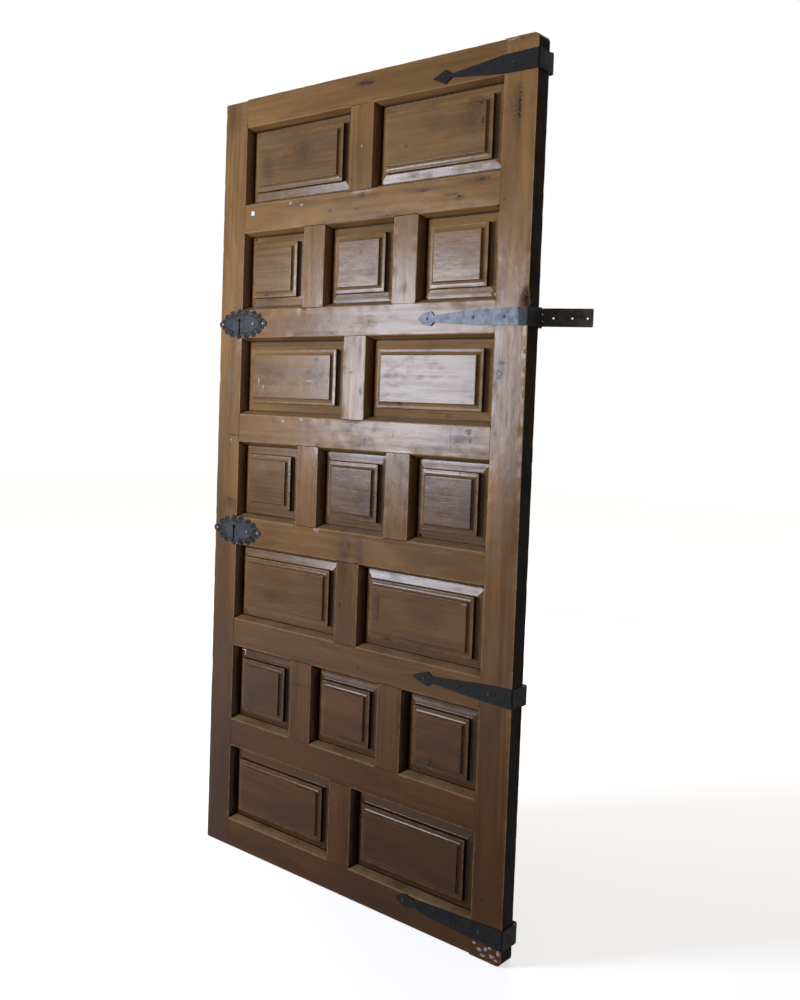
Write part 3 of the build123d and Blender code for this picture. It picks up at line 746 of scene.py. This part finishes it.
def make_curls(node, material, generator):
    """Raised scrolls round a key plate's rim, and a thin line round its middle."""
    low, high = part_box(node)
    center = (low + high) / 2
    center.y = low.y + WIRE_SINK
    curve = bpy.data.curves.new(node + "_scrolls", "CURVE")
    curve.dimensions = "3D"
    curve.bevel_depth = WIRE_R
    curve.bevel_resolution = 2
    curve.use_fill_caps = True
    for number in range(SCROLLS):
        turn = 2 * math.pi * (number + 0.5) / SCROLLS
        way = 1 if number % 2 else -1
        middle = on_ring(center, SCROLL_RING, turn)
        start = turn + generator.uniform(-0.3, 0.3)
        points = []
        for step in range(SCROLL_STEPS + 1):
            part = step / SCROLL_STEPS
            angle = start + way * part * SCROLL_SWEEP
            radius = SCROLL_R - SCROLL_SHRINK * part
            arm = Vector((radius * math.cos(angle), -SCROLL_RISE * part, radius * math.sin(angle)))
            points.append(middle + arm)
        add_spline(curve, points, False)
    line = [on_ring(center, LINE_RING, 2 * math.pi * step / LINE_STEPS) for step in range(LINE_STEPS)]
    add_spline(curve, line, True)
    curve.materials.append(material)
    piece = bpy.data.objects.new(node + "_scrolls", curve)
    bpy.context.scene.collection.objects.link(piece)
    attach(piece, BODY_OF[node])


def add_spline(curve, points, closed):
    """A smooth wire near the points."""
    spline = curve.splines.new("NURBS")
    spline.points.add(len(points) - 1)
    for target, point in zip(spline.points, points):
        target.co = (*point, 1.0)
    spline.order_u = 4
    spline.use_endpoint_u = not closed
    spline.use_cyclic_u = closed


def make_hardware():
    """Straps, plates, pins, locks and nails."""
    generator = random.Random(IRON_SEED)
    black = make_iron("black iron", rgb(30, 29, 29), rgb(16, 16, 16), rgb(46, 38, 33), 0.55, 0.05)
    grey = make_grey_iron()
    dark = make_iron("dark iron", rgb(84, 76, 69), rgb(46, 41, 37), rgb(108, 96, 86), 0.55, 0.2)
    pierced = make_iron("key plate iron", rgb(56, 56, 58), rgb(30, 29, 30), rgb(22, 19, 17), 0.46, 0.2)
    lock = make_iron("lock iron", rgb(68, 64, 60), rgb(46, 42, 40), rgb(88, 62, 46), 0.5, 0.3)
    finishes = {
        "black_iron": black, "grey_steel": grey, "dark_steel": dark,
        "key_plate_iron": pierced, "lock_iron": lock,
    }
    for slot, nodes in SLOT_NODES.items():
        arris, dent = (PLATE_ARRIS, PLATE_DENT) if slot == "dark_steel" else (IRON_ARRIS, IRON_DENT)
        for node in nodes:
            make_forged(node, finishes[slot], arris, dent, generator)
    # The scroll wires' pale flecks are painted glints
    wire = make_iron("scroll iron", rgb(34, 32, 31), rgb(14, 13, 13), rgb(146, 142, 138), 0.34, 0.4)
    for node in SLOT_NODES["key_plate_iron"]:
        make_curls(node, wire, generator)
    bright = make_iron("nail heads", rgb(128, 126, 124), rgb(64, 62, 60), rgb(60, 50, 44), 0.4, 0.5)
    # Strap nail heads: dark iron whose pale flecks are painted glints
    worn = make_iron("strap nail heads", rgb(66, 64, 62), rgb(26, 25, 24), rgb(128, 124, 118), 0.42, 0.4)
    heads = {"strap_nails": worn, "strap_screws": worn, "key_plate_nails": bright, "lock_screws": lock}
    for node, material in heads.items():
        NODES[node].data.materials.clear()
        NODES[node].data.materials.append(material)


def make_label():
    """A small blank paper label stuck on the second rail, one corner lifting."""
    shader = Shader("paper", Roughness=0.85, Specular_IOR_Level=0.2)
    fibres = shader.noise(shader.place(), scale=900.0, detail=3.0)
    colour = shader.mix(shader.mask(fibres, 0.3, 0.7), rgb(226, 222, 210), rgb(244, 242, 236))
    shader.set("Base Color", colour)
    mesh = bmesh.new()
    bmesh.ops.create_grid(mesh, x_segments=10, y_segments=9, size=1.0)
    middle = on_front(*LABEL_AT)
    half_w, half_h = LABEL_SIZE[0] / 2, LABEL_SIZE[1] / 2
    for vert in mesh.verts:
        right, up = vert.co.x, vert.co.y
        across = half_w * right + LABEL_SKEW[0] * up
        above = half_h * up - LABEL_SKEW[1] * right
        lift = LABEL_LIFT * max(0.0, (right + up) / 2 - 0.45)
        vert.co = middle + Vector((across, -LABEL_GAP - lift, above))
    mesh.normal_update()
    bmesh.ops.solidify(mesh, geom=mesh.faces[:], thickness=LABEL_T)
    bmesh.ops.recalc_face_normals(mesh, faces=mesh.faces)
    data = bpy.data.meshes.new("label")
    mesh.to_mesh(data)
    mesh.free()
    data.materials.append(shader.material)
    label = bpy.data.objects.new("label", data)
    bpy.context.scene.collection.objects.link(label)
    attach(label, "leaf")


def make_stage():
    """A plain white floor that keeps the shadow, and an even white surround."""
    shader = Shader("floor", Roughness=1.0, Specular_IOR_Level=0.0)
    seen = shader.seen()
    shader.set("Base Color", shader.mix(seen, rgb(96, 96, 96), rgb(232, 232, 232)))
    shader.set("Emission Color", WHITE)
    glow = shader.mask(shader.length(shader.place()), *GLOW_REACH, *GLOW)
    shader.set("Emission Strength", shader.math("MULTIPLY", seen, glow))
    bpy.ops.mesh.primitive_plane_add(size=FLOOR_SIZE, location=(0.0, 0.0, LEAF_LOW.z - FLOOR_GAP))
    floor = bpy.context.object
    floor.name = "floor"
    floor.data.materials.append(shader.material)

    world = bpy.data.worlds.new("surround")
    world.use_nodes = True
    bpy.context.scene.world = world
    sky = Nodes(world.node_tree)
    seen = sky.seen()
    background = world.node_tree.nodes["Background"]
    sky.feed(background.inputs["Color"], sky.mix(seen, AMBIENT_TINT, WHITE))
    sky.feed(background.inputs["Strength"], sky.mask(seen, 0.0, 1.0, AMBIENT, 1.0))


def aim(thing, target):
    """Turn a lamp towards a point."""
    thing.rotation_euler = (Vector(target) - thing.location).to_track_quat("-Z", "Y").to_euler()


def make_lights():
    """The window whose image lies on the middle rows, and the fill for the back."""
    lamps = (
        ("window", WINDOW_AT, WINDOW_AIM, WINDOW_SIZE, WINDOW_POWER, WINDOW_TINT),
        ("fill", FILL_AT, FILL_AIM, FILL_SIZE, FILL_POWER, FILL_TINT),
    )
    for name, place, target, size, power, tint in lamps:
        light = bpy.data.lights.new(name, "AREA")
        light.shape = "RECTANGLE"
        light.size, light.size_y = size
        light.energy = power
        light.color = tint
        lamp = bpy.data.objects.new(name, light)
        lamp.location = place
        bpy.context.scene.collection.objects.link(lamp)
        aim(lamp, target)


def make_camera():
    """The view of the leaf from its front right."""
    data = bpy.data.cameras.new("camera")
    data.lens = CAMERA_LENS
    data.sensor_width = CAMERA_SENSOR
    data.shift_y = CAMERA_SHIFT_Y
    camera = bpy.data.objects.new("camera", data)
    camera.location = CAMERA_AT
    camera.rotation_euler = Euler([math.radians(angle) for angle in CAMERA_TURN], "XYZ")
    bpy.context.scene.collection.objects.link(camera)
    bpy.context.scene.camera = camera


make_camera()
make_wood()
make_hardware()
make_label()
make_stage()
make_lights()
bpy.context.scene.view_settings.view_transform = "Standard"
